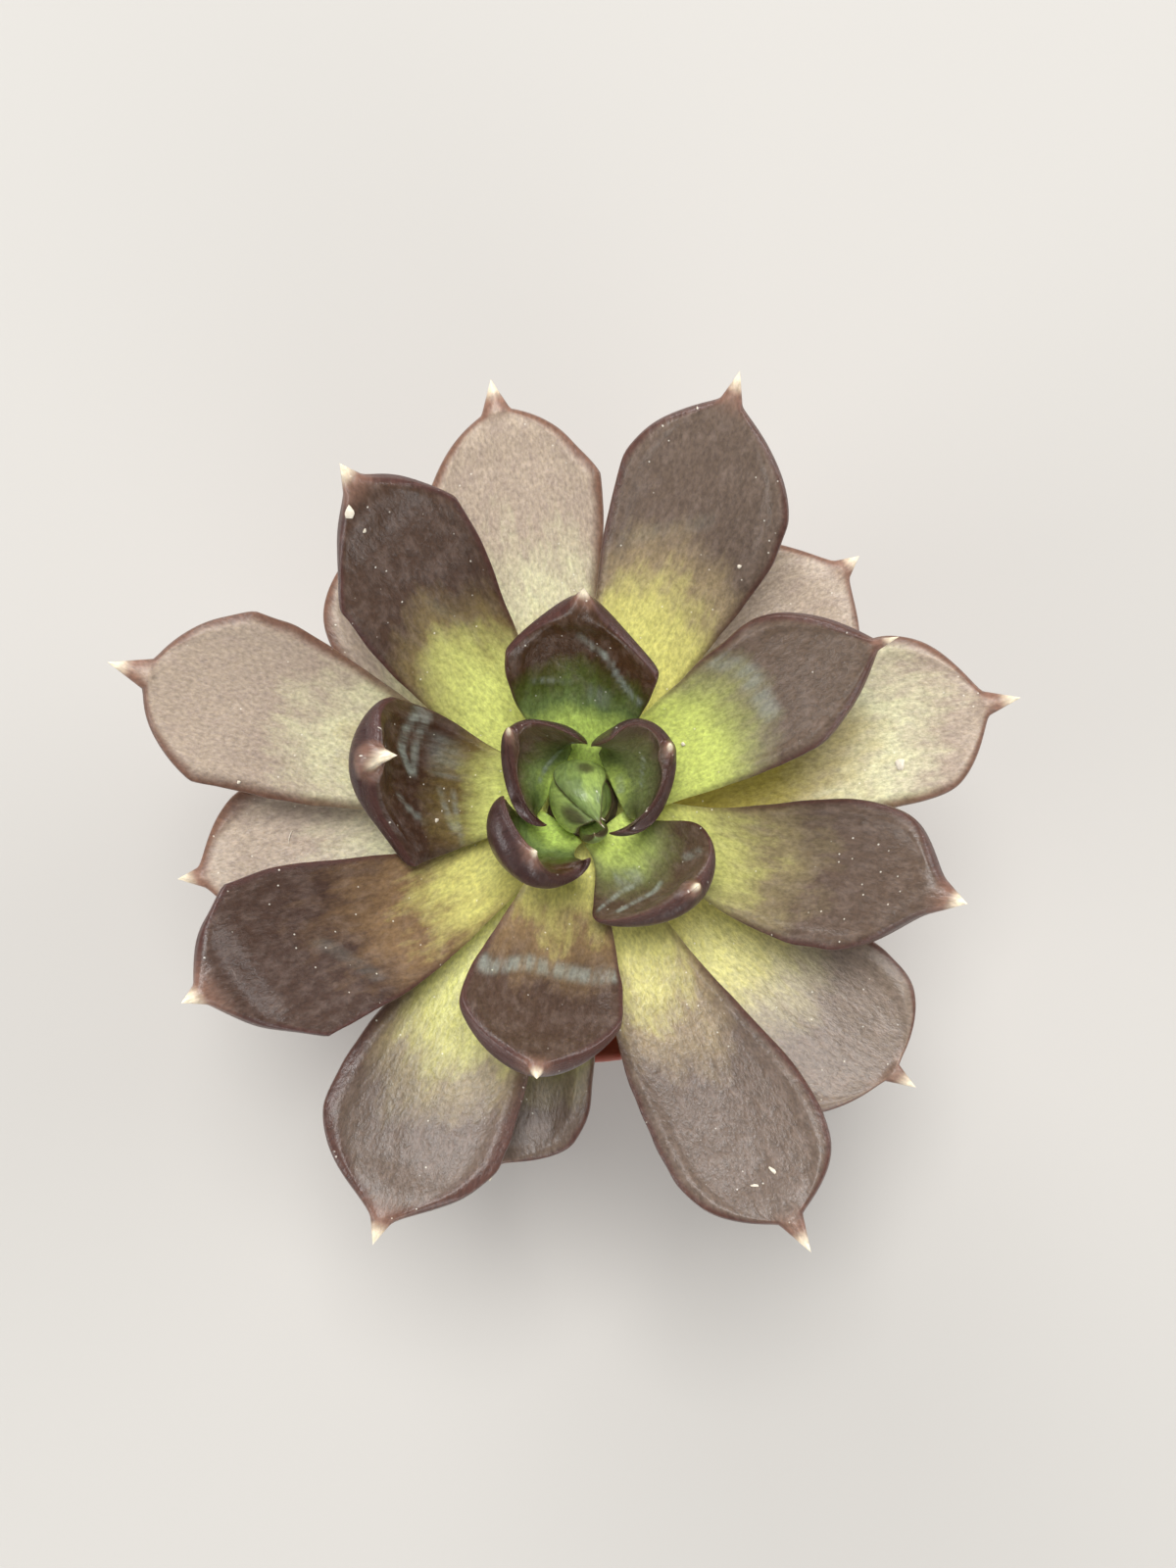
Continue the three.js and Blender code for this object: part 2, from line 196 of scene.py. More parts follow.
brownMargin = addNode(tree, "ShaderNodeMath", {"operation": "MULTIPLY"},
                      {0: margin.outputs[0], 1: marginPlace.outputs[0]})
blush = addNode(tree, "ShaderNodeMapRange", {"interpolation_type": "SMOOTHSTEP", "From Min": 0.89,
                "From Max": 0.96, "To Max": 0.65}, {"Value": along})
point = addNode(tree, "ShaderNodeMapRange", {"interpolation_type": "SMOOTHSTEP", "From Min": 0.945,
                "From Max": 0.985}, {"Value": along})
marginAge = addNode(tree, "ShaderNodeMix", {"data_type": "RGBA", 6: linear(leafSkin["youngMargin"]),
                    7: linear(leafSkin["margin"])}, {0: age})
layers = (
    (bloom.outputs[0], "wax"),
    (outside, "outside"),
    (brokenArc.outputs[0], "arcWax"),
    (brownMargin.outputs[0], "margin"),
    (blush.outputs[0], "blush"),
    (point.outputs[0], "spine"),
)
for amount, name in layers:
    layer = addNode(tree, "ShaderNodeMix", {"data_type": "RGBA", 7: linear(leafSkin[name])},
                    {0: amount, 6: layer.outputs[2]})
    if name == "margin":  # darker on the young leaves
        tree.links.new(marginAge.outputs[2], layer.inputs[7])

# The skin's grain darkens the colour in fine flecks.
fibres = addNode(tree, "ShaderNodeMapRange", {"From Min": 0.3, "From Max": 0.7, "To Min": 0.64,
                 "To Max": 1.12}, {"Value": patterns["grain"]})
layer = addNode(tree, "ShaderNodeMix", {"data_type": "RGBA", "blend_type": "MULTIPLY", 0: 1.0},
                {6: layer.outputs[2], 7: fibres.outputs[0]})

# Painted glints: tiny sparkles of light off the waxy skin, painted into the colour as bright specks, drawn a
# little larger than real so that they show.
glintSpeckPlace = addNode(tree, "ShaderNodeVectorMath", {"operation": "SCALE", "Scale": 1 / leafSkin["glintSpeckGap"]},
                     {0: skin})
cells = addNode(tree, "ShaderNodeTexVoronoi", {"Scale": 1.0}, {"Vector": glintSpeckPlace.outputs[0]})
dot = addNode(tree, "ShaderNodeMapRange", {"From Min": 0.04, "From Max": 0.09, "To Min": 0.6, "To Max": 0.0},
              {"Value": cells.outputs["Distance"]})
draw = addNode(tree, "ShaderNodeSeparateColor", None, {0: cells.outputs["Color"]})
chosen = addNode(tree, "ShaderNodeMath", {"operation": "GREATER_THAN", 1: 0.4}, {0: draw.outputs[0]})
glintSpeck = addNode(tree, "ShaderNodeMath", {"operation": "MULTIPLY"}, {0: dot.outputs[0], 1: chosen.outputs[0]})
layer = addNode(tree, "ShaderNodeMix", {"data_type": "RGBA", 7: linear(leafSkin["glintSpeck"])},
                {0: glintSpeck.outputs[0], 6: layer.outputs[2]})

rough = addNode(tree, "ShaderNodeMath", {"operation": "MULTIPLY_ADD", 1: leafSkin["dustyRoughness"],
                2: leafSkin["roughness"]}, {0: patterns["dust"]})
rougher = addNode(tree, "ShaderNodeMath", {"operation": "MULTIPLY_ADD", 1: 0.08},
                  {0: age, 2: rough.outputs[0]})
relief = addNode(tree, "ShaderNodeMath", {"operation": "MULTIPLY_ADD", 1: 0.4},
                 {0: patterns["grain"], 2: patterns["dust"]})
bump = addNode(tree, "ShaderNodeBump", {"Strength": 1.0, "Distance": 0.15 * mm},
               {"Height": relief.outputs[0]})
tree.links.new(layer.outputs[2], shader.inputs["Base Color"])
tree.links.new(rougher.outputs[0], shader.inputs["Roughness"])
tree.links.new(bump.outputs[0], shader.inputs["Normal"])
shader.inputs["IOR"].default_value = 1.4
shader.inputs["Subsurface Weight"].default_value = 0.15
shader.inputs["Subsurface Radius"].default_value = (1.0, 0.8, 0.35)
shader.inputs["Subsurface Scale"].default_value = 1.2 * mm

print("stage: rosette leaves")

# Millimetres, degrees and counts. The leaves stand at the golden angle, each rooted a little lower.
rosette = {
    "goldenAngle": 137.5,
    "firstAzimuth": 142,
    "youngestRoot": 71,
    "rootPitch": 0.85,
    "rootRadius": 3.3,
    "lean": (0, 1.5),
    "leanFrom": 53,
    "stemTop": 70,
    "around": 80,
    "along": 96,
    "tipRows": 1.45,           # how much closer together the mesh's rows lie towards the spine
    "rimHeight": 0.32,         # the rolled rim inside each margin
    "rimPlace": 0.85,          # where it lies, as a share of the half width
    "rimWidth": 0.09,          # its width, as a share of the same
    "spineThickness": 0.8,     # as a share of the spine's width
    "ripple": 0.1,             # unevenness of the skin
    "rippleSize": (2.6, 4.5),  # its size across and along the leaf
    "edgeWave": 0.02,          # how far the margins wave, as a share of the half width
    "edgeWaveSize": 3.1,
}

# What every leaf has unless its own row says otherwise; millimetres, degrees and shares of the length.
commonLeaf = {
    "drift": 0, "curl": 1, "cup": 0.03, "bow": 0, "hook": 0, "slant": 0, "wide": 0.7, "end": 0.92,
    "round": 2, "point": 1, "root": 0.38, "spine": 0.18, "over": 0.7, "under": 3,
    "green": 0.32,   # where along the midrib the green starts to give way
    "fade": 0.4,     # over what share of the length it turns
    "tongue": 0.1,   # how much sooner it turns at the margins
    "age": 0.5,      # 0 dark and waxy, 1 pale and dusty
    "fresh": 0.2,    # how green the turning zone is
    "edge": 0.7,     # mm, width of the brown margin
    "purple": 0.7,   # how purple the underside is
    "rolled": 1,     # how much of the rolled rim it has
    "blunt": 0.8,    # how full the section stays towards the margins, 0 a box and above 1 a sharp edge
    "lip": 0.6,      # the same towards the tip
    "spot": None,
    "pale": 0,       # share of the length by which the spine's cream point starts sooner
    "nod": 0,        # degrees that the spine turns in past the blade
    "arcs": (),      # wax arcs: width in mm, strength, then points as (across, along)
}

# The sizes of each leaf, youngest first, as in the solids.
leafRows = (
    {"drift": 9.5, "length": 12.1, "half": 7.9, "slope": (49, 65), "cup": 0.22, "bow": -0.5, "hook": -2.7,
     "slant": 0.75, "wide": 0.51, "end": 0.84, "round": 1.2, "root": 0.5, "spine": 0.12, "under": 1.4},
    {"drift": 20, "length": 12.2, "half": 9, "slope": (42, 68), "cup": 0.22, "hook": 1.4, "slant": -0.6,
     "wide": 0.66, "end": 0.86, "round": 1.4, "root": 0.42, "spine": 0.12, "under": 1.4},
    {"drift": 5, "length": 17.7, "half": 7, "slope": (47, 123), "curl": 1.4, "cup": 0.18, "bow": -1.2,
     "hook": -0.5, "slant": 0.7, "wide": 0.64, "end": 0.96, "round": 1.5, "spine": 0.16, "under": 2},
    {"drift": -2.3, "length": 25.5, "half": 7.9, "slope": (40, 54), "cup": 0.07, "bow": 0.8, "hook": 0.9,
     "slant": -0.2, "wide": 0.64, "round": 1.3, "point": 1.5, "root": 0.53, "under": 2.2},
    {"drift": -0.7, "length": 18.4, "half": 7.6, "slope": (25, 94), "curl": 1.45, "cup": 0.08, "bow": 0.3,
     "hook": 3.3, "slant": -0.1, "wide": 0.58, "end": 0.9, "spine": 0.17, "under": 2},
    {"drift": -5.3, "length": 27.2, "half": 8.2, "slope": (16, 115), "curl": 2.4, "cup": 0.024, "bow": 1.5,
     "hook": -1.2, "slant": 0.65, "wide": 0.64, "round": 1.3, "nod": 50, "pale": 0.04},
    {"drift": -3.5, "length": 37, "half": 7.1, "slope": (28, 36), "cup": 0.04, "bow": -1.1, "hook": -3.4,
     "slant": -0.2, "wide": 0.64, "end": 0.93, "round": 1.6, "root": 0.6, "spine": 0.12},
    {"drift": -3.1, "length": 32.6, "half": 8.2, "slope": (24, 66), "curl": 1.3, "cup": 0.04, "bow": 0.7,
     "hook": 1.9, "slant": 0.15, "end": 0.935, "round": 1.6, "root": 0.43},
    {"drift": -1.5, "length": 42.6, "half": 7.9, "slope": (24, 32), "bow": 3.2, "hook": 3.5, "slant": 0.3,
     "wide": 0.73, "end": 0.94, "round": 1.25, "root": 0.5, "spine": 0.26},
    {"drift": 10, "length": 39.3, "half": 7.7, "slope": (22, 28), "bow": -4.6, "hook": -6, "slant": -0.4,
     "wide": 0.66, "round": 2.5, "point": 1.5, "spine": 0.28},
    {"drift": -10.6, "length": 44.2, "half": 8.9, "slope": (20, 28), "bow": 5.9, "hook": 7.4, "slant": 0.35,
     "wide": 0.76, "end": 0.95, "round": 1.1, "point": 0.8, "spine": 0.26},
    {"drift": -2.5, "length": 46.4, "half": 9.1, "slope": (20, 26), "bow": 0.8, "hook": 2.6, "wide": 0.72,
     "end": 0.93, "round": 1.8, "root": 0.32},
    {"drift": 9.6, "length": 49.1, "half": 8.4, "slope": (14, 20), "bow": -3.8, "hook": -3.9, "slant": -0.1,
     "wide": 0.73, "round": 2.2, "point": 0.8, "root": 0.32, "spine": 0.2},
    {"drift": 4.3, "length": 49, "half": 9.3, "slope": (12, 20), "bow": 2.4, "hook": 3.6, "wide": 0.75,
     "end": 0.91, "round": 1.3, "point": 0.6, "root": 0.32, "spine": 0.2},
    {"drift": -1, "length": 44.4, "half": 8.9, "slope": (12, 16), "hook": -1.4, "wide": 0.66, "round": 3.2,
     "root": 0.42},
    {"drift": 2.4, "length": 47.7, "half": 9.7, "slope": (10, 16), "bow": -0.3, "hook": 2, "slant": 0.15,
     "wide": 0.75, "end": 0.95, "round": 1.8, "point": 1.2, "spine": 0.21},
    {"drift": -2.9, "length": 43.4, "half": 9.7, "slope": (10, 15), "bow": 2.4, "hook": 2.4, "slant": 0.1,
     "wide": 0.72, "round": 1.1, "point": 0.6, "root": 0.32, "spine": 0.2},
    {"drift": -4.9, "length": 42.7, "half": 10.5, "slope": (6, 12), "bow": -1.3, "hook": 0.5, "wide": 0.68,
     "end": 0.93, "round": 2.6, "point": 0.6, "root": 0.42, "spine": 0.16},
    {"drift": 1.6, "length": 40.6, "half": 10, "slope": (4, 10), "bow": 1.6, "hook": 0.7, "slant": 0.2,
     "wide": 0.67, "end": 0.94},
    {"drift": -6.7, "length": 37, "half": 10.8, "slope": (4, 8), "bow": 0.9, "wide": 0.67, "end": 0.94},
    {"drift": -13.7, "length": 37.6, "half": 10.6, "slope": (4, 7), "bow": -3.7, "hook": -1.8, "slant": -0.3,
     "wide": 0.67, "end": 0.94},
    {"drift": -6.9, "length": 37.1, "half": 10.8, "slope": (4, 7), "slant": -0.2, "wide": 0.67, "end": 0.94},
)

# How each leaf is coloured, in the same order, and how flat and thin-lipped the young ones are.
leafLooks = (
    {"green": 0.06, "fade": 0.6, "tongue": 0.4, "age": 0.05, "fresh": 1, "edge": 0.4,
     "rolled": 0.2, "over": 0.3, "blunt": 1.25, "lip": 1.3,
     "arcs": ((0.5, 0.9, (-0.8, 0.38), (-0.6, 0.22), (-0.1, 0.23), (0.2, 0.22)),)},
    {"green": 0.04, "fade": 0.8, "tongue": 0.45, "age": 0.1, "fresh": 0.95, "edge": 0.4,
     "rolled": 0.2, "over": 0.3, "blunt": 1.25, "lip": 1.3,
     "arcs": ((0.3, 0.7, (-0.2, 0.34), (0, 0.43), (0.2, 0.55)), (0.8, 0.7, (-0.3, 0.06), (0.2, 0.15)))},
    {"green": 0.2, "fade": 0.42, "tongue": 0.2, "age": 0, "fresh": 1, "edge": 0.4,
     "rolled": 0.2, "over": 0.3, "blunt": 1.25, "lip": 1},
    {"green": 0.28, "fade": 0.35, "age": 0, "fresh": 1, "edge": 0.3, "rolled": 0.5, "over": 0.4,
     "arcs": ((0.5, 0.5, (0.15, 0.48), (0.7, 0.5)),
              (0.8, 0.9, (-0.92, 0.42), (-0.7, 0.47), (-0.5, 0.54), (-0.3, 0.66), (0.1, 0.75)),
              (1.6, 0.5, (-0.45, 0.39), (-0.1, 0.43)))},
    {"green": 0.2, "fade": 0.48, "tongue": 0.3, "age": 0.1, "fresh": 0.85, "edge": 0.4,
     "rolled": 0.3, "over": 0.4, "blunt": 1.2, "lip": 1,
     "arcs": ((0.5, 0.8, (-0.92, 0.51), (-0.73, 0.46), (-0.5, 0.44), (-0.25, 0.46)),
              (0.5, 0.8, (-0.75, 0.61), (-0.45, 0.59), (-0.12, 0.61), (0.05, 0.58)),
              (1.4, 0.5, (-0.55, 0.33), (-0.1, 0.42)),
              (0.8, 0.5, (0.5, 0.58), (0.8, 0.69)))},
    {"green": 0.18, "fade": 0.37, "age": 0, "fresh": 0.4, "edge": 0.22,
     "arcs": ((0.6, 0.8, (-1, 0.56), (-0.75, 0.6), (-0.4, 0.64), (-0.1, 0.59)),
              (0.5, 0.6, (-0.96, 0.54), (-0.5, 0.575), (-0.1, 0.585)),
              (0.9, 0.6, (0.2, 0.7), (0.45, 0.52)),
              (0.5, 0.5, (0, 0.46), (0.4, 0.4), (0.7, 0.36)),
              (0.4, 0.5, (0, 0.4), (0.5, 0.36), (0.95, 0.32)),
              (2.4, 0.4, (-0.75, 0.46), (-0.2, 0.44)))},
    {"green": 0.36, "fade": 0.28, "age": 0.17, "fresh": 0.65,
     "arcs": ((1.6, 0.5, (-0.33, 0.56), (0.45, 0.56), (0.9, 0.51)),)},
    {"green": 0.02, "fade": 0.62, "age": 0.07, "fresh": 0, "rolled": 0.6, "over": 0.5,
     "arcs": ((1.3, 0.7, (-0.98, 0.55), (-0.79, 0.56), (-0.32, 0.5), (0.55, 0.51), (0.95, 0.49)),)},
    {"green": 0.31, "fade": 0.32, "age": 0.04, "fresh": 0.35, "rolled": 0.5, "over": 0.35,
     "arcs": ((1.2, 0.14, (-0.4, 0.46), (0, 0.58)),)},
    {"green": 0.2, "fade": 0.46, "age": 0.14, "fresh": 0.35, "edge": 0.8},
    {"green": 0.05, "fade": 0.62, "age": 0.03, "fresh": 0, "rolled": 0.4, "over": 0.3,
     "arcs": ((1.2, 0.14, (-0.05, 0.65), (0.7, 0.54)),)},
    {"green": 0.33, "fade": 0.32, "age": 0.22, "fresh": 0, "edge": 0.8,
     "arcs": ((1.2, 0.14, (-0.2, 0.67), (0.3, 0.61), (0.8, 0.55)),)},
    {"green": 0.2, "fade": 0.4, "age": 0.2, "fresh": 0, "edge": 0.8},
    {"green": 0.2, "fade": 0.46, "age": 0.85, "fresh": 0, "edge": 1.3},
    {"green": 0.37, "fade": 0.5, "age": 0.9, "fresh": 0.6, "edge": 1.1},
    {"green": 0.4, "fade": 0.34, "age": 0.2, "fresh": 0.2, "edge": 2.4},
    {"green": 0.02, "fade": 0.66, "age": 1, "fresh": 0, "edge": 1.4},
    {"green": 0.42, "fade": 0.3, "age": 0.42, "fresh": 0.05, "edge": 0.6},
    {"green": 0, "fade": 0.64, "age": 1, "fresh": 0.3, "edge": 2.2},
    {"green": 0.15, "fade": 0.38, "age": 0.97, "fresh": 0.1, "edge": 1.7},
    {"green": 0.54, "fade": 0.24, "age": 0.2, "fresh": 0.3},
    {"green": 0.3, "fade": 0.4, "age": 0.8, "fresh": 0, "edge": 1.4},
)


# Half width of the blade without its spine, then the spine's, then the flesh; shares at t of the length.
def bladeShare(leaf, t):
    swell = math.sin(0.5 * math.pi * min(t / leaf["wide"], 1)) ** 2
    past = clamp((t - leaf["wide"]) / (leaf["end"] - leaf["wide"]))
    return (leaf["root"] + (1 - leaf["root"]) * swell) * (1 - past ** leaf["round"]) ** leaf["point"]


def spineShare(leaf, t):
    return leaf["spine"] * (1 - t) / 0.1 * smooth((t - leaf["wide"]) / (0.9 - leaf["wide"]))


def fleshShare(leaf, t):
    past = clamp((t - leaf["wide"]) / (leaf["end"] - leaf["wide"]))
    return (0.85 + 0.15 * smooth(t / 0.4)) * (1 - past ** 2.6) ** leaf["lip"]


def slopeAt(leaf, t):
    low, high = leaf["slope"]
    return math.radians(low + (high - low) * t ** leaf["curl"] + leaf["nod"] * smooth((t - 0.88) / 0.05))


# Radius, height and slope of the midrib at t, summed over short steps.
def midrib(leaf, t, steps=24):
    radius, height = leaf["rootRadius"], leaf["rootHeight"]
    for i in range(steps):
        slope = slopeAt(leaf, t * (i + 0.5) / steps)
        radius += math.cos(slope) * leaf["length"] * t / steps
        height += math.sin(slope) * leaf["length"] * t / steps
    return radius, height, slopeAt(leaf, t)


def stemCentre(height):
    share = max((height - rosette["leanFrom"]) / (rosette["stemTop"] - rosette["leanFrom"]), 0)
    return rosette["lean"][0] * share, rosette["lean"][1] * share


# A point of the skin, t along the leaf and an angle round its section from the left margin. Then how far it
# lies from the midrib and from the margin.
def leafPoint(leaf, t, angle, out, rib):
    blade, spine = bladeShare(leaf, t), spineShare(leaf, t)
    wave = wobble(t * leaf["length"] / rosette["edgeWaveSize"], leaf["seed"], math.cos(angle))
    width = leaf["half"] * math.hypot(blade, spine) * (1 + rosette["edgeWave"] * wave * smooth(t / 0.3))
    turn, rise = math.cos(angle), math.sin(angle)
    flesh = (leaf["over"] if rise > 0 else leaf["under"]) * fleshShare(leaf, t)
    lift = math.copysign(abs(rise) ** leaf["blunt"], rise)
    across = out * width * turn
    ridge = spine / max(math.hypot(blade, spine), 1e-6) if rise > 0 else 1  # the blade stays flat above
    above = out * math.hypot(flesh, rosette["spineThickness"] * leaf["half"] * spine * ridge) * lift
    if rise > 0:
        fromRim = (abs(turn) - rosette["rimPlace"]) / rosette["rimWidth"]
        rim = math.exp(-fromRim ** 2) * smooth(t / 0.4) * blade
        above += rosette["rimHeight"] * leaf["rolled"] * rim * out
        rippleAcross, rippleAlong = rosette["rippleSize"]
        ripple = wobble(across / rippleAcross, t * leaf["length"] / rippleAlong, leaf["seed"])
        above += rosette["ripple"] * ripple * blade * (1 - turn * turn) * out
    cup = max(leaf["cup"] * smooth(t / 0.35), 1e-4)
    side = math.sin(cup * across) * (1 / cup - above)
    up = (1 - math.cos(cup * across)) / cup + math.cos(cup * across) * above
    sway = 4 * leaf["bow"] * t * (1 - t) + leaf["hook"] * clamp((t - 0.6) / 0.4) ** 1.5
    back = leaf["slant"] * across * smooth((t - 0.4) / 0.4)
    ribRadius, ribHeight, slope = rib
    radius = ribRadius - back * math.cos(slope) - up * math.sin(slope)
    height = ribHeight - back * math.sin(slope) + up * math.cos(slope)
    azimuth = math.radians(leaf["azimuth"])
    rootX, rootY = stemCentre(leaf["rootHeight"])
    x = rootX + radius * math.cos(azimuth) - (side + sway) * math.sin(azimuth)
    y = rootY + radius * math.sin(azimuth) + (side + sway) * math.cos(azimuth)
    return Vector((x, y, height)) * mm, across, width * (1 - abs(turn))


# How strongly the wax arcs show at a place of the leaf, x being -1 to 1 across it.
def arcShare(leaf, t, x):
    strongest = 0
    for width, strength, *line in leaf["arcs"]:
        low, high = line[0][0], line[-1][0]
        inside = smooth((x - low) / 0.08 + 0.5) * smooth((high - x) / 0.08 + 0.5)
        for (x1, t1), (x2, t2) in zip(line, line[1:]):
            if x <= x2 or x2 == high:
                middle = t1 + (t2 - t1) * clamp((x - x1) / (x2 - x1))
                break
        far = abs(t - middle) * leaf["length"] / width
        strongest = max(strongest, strength * inside * (1 - smooth(far - 0.25)))
    return strongest


leafNumbers = ("along", "rim", "turn", "age", "fresh", "arc", "outside")


# A sphere's rows run along the leaf, closer together near the spine, and its columns round the section.
def growLeaf(bm, leaf, around, rows):
    for key in leafNumbers:
        if key not in bm.verts.layers.float:
            bm.verts.layers.float.new(key)
    if "skin" not in bm.verts.layers.float_vector:
        bm.verts.layers.float_vector.new("skin")
    made = bmesh.ops.create_uvsphere(bm, u_segments=around, v_segments=rows, radius=1)
    numbers = {key: bm.verts.layers.float[key] for key in leafNumbers}
    skin = bm.verts.layers.float_vector["skin"]
    ribs = {}
    for vert in made["verts"]:
        row = round(math.acos(clamp(vert.co.z, -1, 1)) / math.pi * rows)
        angle = math.atan2(vert.co.y, vert.co.x)
        t = 1 - (1 - row / rows) ** rosette["tipRows"]
        if row not in ribs:
            ribs[row] = midrib(leaf, t)
        out = 0 if row in (0, rows) else 1
        vert.co, across, rim = leafPoint(leaf, t, angle, out, ribs[row])
        x = math.cos(angle)
        under = smooth(-math.sin(angle) * 2.5)
        turned = t + leaf["tongue"] * abs(x) ** 1.6 + 0.12 * under  # sooner at the margins and underneath
        vert[numbers["along"]] = t + leaf["pale"] * smooth((t - 0.85) / 0.05)
        vert[numbers["rim"]] = rim / leaf["edge"]
        vert[numbers["turn"]] = (turned - leaf["green"]) / leaf["fade"]
        vert[numbers["age"]] = leaf["age"]
        vert[numbers["fresh"]] = leaf["fresh"] * (1 - leaf["purple"] * under)
        vert[numbers["arc"]] = arcShare(leaf, t, x) * (1 - under)
        purple = leaf["purple"] * smooth((t - 0.2) / 0.3)
        if leaf["spot"]:
            spotAt, spotAcross, spotRadius, spotStrength = leaf["spot"]
            far = math.hypot((t - spotAt) * leaf["length"], across - spotAcross) / spotRadius
            purple = max(purple, spotStrength * smooth(1.6 - far))
        vert[numbers["outside"]] = purple * under
        apart = 40 * leaf["seed"] + 12 * under  # gives each leaf and side another part of the patterns
        vert[skin] = Vector((across, t * leaf["length"], apart))
    return made["verts"]


grownLeaves = []
for i, (row, look) in enumerate(zip(leafRows, leafLooks)):
    leaf = {**commonLeaf, **row, **look}
    leaf["azimuth"] = rosette["firstAzimuth"] - rosette["goldenAngle"] * i + leaf["drift"]
    leaf["rootHeight"] = rosette["youngestRoot"] - rosette["rootPitch"] * i
    leaf["rootRadius"] = rosette["rootRadius"]
    leaf["seed"] = 1.7 + i
    grownLeaves.append(leaf)
    bm = bmesh.new()
    growLeaf(bm, leaf, rosette["around"], rosette["along"])
    finishPiece(f"rosetteLeaf{i + 1:02d}", bm, waxyLeafSkin, f"leaf_{i + 1:02d}")

print("stage: heart")

heart = {
    "root": 70.6,
    "leafRoot": 0.9,
    "domeRadius": 2.9,
    "domeStretch": 1.3,
    "around": 56,
    "along": 60,
    "look": {"over": 0.3, "green": -0.02, "fade": 2.8, "age": 0, "fresh": 1, "edge": 0.25, "purple": 0},
}
# Two hooded buds close over the growing point, the others start beside them. A spot is a ripening brown
# patch on a bud's back: share of the length, mm across, radius in mm and strength.
budRows = (
    {"azimuth": 86, "length": 11.8, "half": 2.7, "slope": (16, 215), "curl": 0.9, "cup": 0.14, "bow": 0.5,
     "hook": -2.4, "wide": 0.5, "end": 0.95, "round": 1.6, "root": 0.6, "spine": 0.12, "under": 1,
     "spot": (0.5, -0.5, 0.65, 0.75)},
    {"azimuth": 200, "length": 8.7, "half": 3, "slope": (25, 190), "curl": 0.9, "cup": 0.14, "hook": 2.8,
     "wide": 0.5, "end": 0.95, "round": 1.4, "root": 0.6, "spine": 0.12, "under": 1,
     "spot": (0.7, 0.8, 0.9, 0.75)},
    {"azimuth": 288, "length": 6.3, "half": 1.5, "slope": (0, 120), "cup": 0.2, "wide": 0.5, "spine": 0.1,
     "under": 0.8},
    {"azimuth": 350, "length": 5, "half": 1.6, "slope": (60, 120), "cup": 0.2, "under": 0.8},
    {"azimuth": 150, "length": 5, "half": 1.6, "slope": (60, 120), "cup": 0.2, "under": 0.8},
)
bm = bmesh.new()
for i, row in enumerate(budRows):
    bud = {**commonLeaf, **heart["look"], **row}
    bud["rootHeight"], bud["rootRadius"], bud["seed"] = heart["root"], heart["leafRoot"], 31.3 + i
    growLeaf(bm, bud, heart["around"], heart["along"])
dome = bmesh.ops.create_uvsphere(bm, u_segments=32, v_segments=20, radius=heart["domeRadius"] * mm)
domeX, domeY = stemCentre(heart["root"])
skinLayer = bm.verts.layers.float_vector["skin"]
for vert in dome["verts"]:
    vert.co.z *= heart["domeStretch"]
    vert.co += Vector((domeX, domeY, heart["root"])) * mm
    vert[skinLayer] = vert.co / mm
    vert[bm.verts.layers.float["fresh"]] = 1
    vert[bm.verts.layers.float["turn"]] = 0.4
    vert[bm.verts.layers.float["rim"]] = 2
finishPiece("heartBuds", bm, waxyLeafSkin, "heart")

print("stage: pot")

# Injection-moulded polypropylene: matt satin, terracotta red dyed through, with faint flow clouds.
pot = {
    "colour": "#8a321a",
    "flow": "#983d24",
    "lime": "#ad7c68",
    "roughness": 0.46,
    "sides": 128,
    "profile": ((0, 0), (17.5, 0), (18.1, 0.15), (18.5, 0.8), (26.4, 44.5), (26.8, 44.55), (27.2, 44.7),
                (27.32, 45.1), (27.5, 49.4), (27.38, 49.82), (27.1, 50), (26.75, 50), (26.45, 49.8),
                (26.3, 49.4), (25.3, 44.5), (17.5, 2.0), (17.2, 1.4), (16.6, 1.1), (0, 1.1)),
    "drains": 6,
    "drainRadius": 2.4,
    "drainCircle": 12,
    "drillDepth": 6,
    "flowSize": 9,              # mm, clouds in the dye
    "runSize": (2.6, 2.6, 70),  # mm round the pot and down it, runs of lime
    "pitSize": 0.5,             # mm, the mould's fine texture
}
potPlastic, tree, shader = newMaterial("mouldedPolypropylene")
place = addNode(tree, "ShaderNodeTexCoord").outputs["Object"]
flow = addNode(tree, "ShaderNodeTexNoise", {"Scale": 1 / (pot["flowSize"] * mm), "Detail": 4.0},
               {"Vector": place})
tint = addNode(tree, "ShaderNodeMix", {"data_type": "RGBA", 6: linear(pot["colour"]),
               7: linear(pot["flow"])}, {0: flow.outputs[0]})
# Watering leaves runs of lime and peat dust that streak down the wall.
stretch = tuple(1 / (size * mm) for size in pot["runSize"])
streakPlace = addNode(tree, "ShaderNodeVectorMath", {"operation": "MULTIPLY", 1: stretch}, {0: place})
runs = addNode(tree, "ShaderNodeTexNoise", {"Scale": 1.0, "Detail": 2.0}, {"Vector": streakPlace.outputs[0]})
dusty = addNode(tree, "ShaderNodeMapRange", {"interpolation_type": "SMOOTHSTEP", "From Min": 0.45,
                "From Max": 0.8, "To Max": 0.22}, {"Value": runs.outputs[0]})
limed = addNode(tree, "ShaderNodeMix", {"data_type": "RGBA", 7: linear(pot["lime"])},
                {0: dusty.outputs[0], 6: tint.outputs[2]})
tree.links.new(limed.outputs[2], shader.inputs["Base Color"])
worn = addNode(tree, "ShaderNodeMath", {"operation": "MULTIPLY_ADD", 1: 0.5, 2: pot["roughness"]},
               {0: dusty.outputs[0]})
tree.links.new(worn.outputs[0], shader.inputs["Roughness"])
pitted = addNode(tree, "ShaderNodeTexNoise", {"Scale": 1 / (pot["pitSize"] * mm), "Detail": 3.0},
                 {"Vector": place})
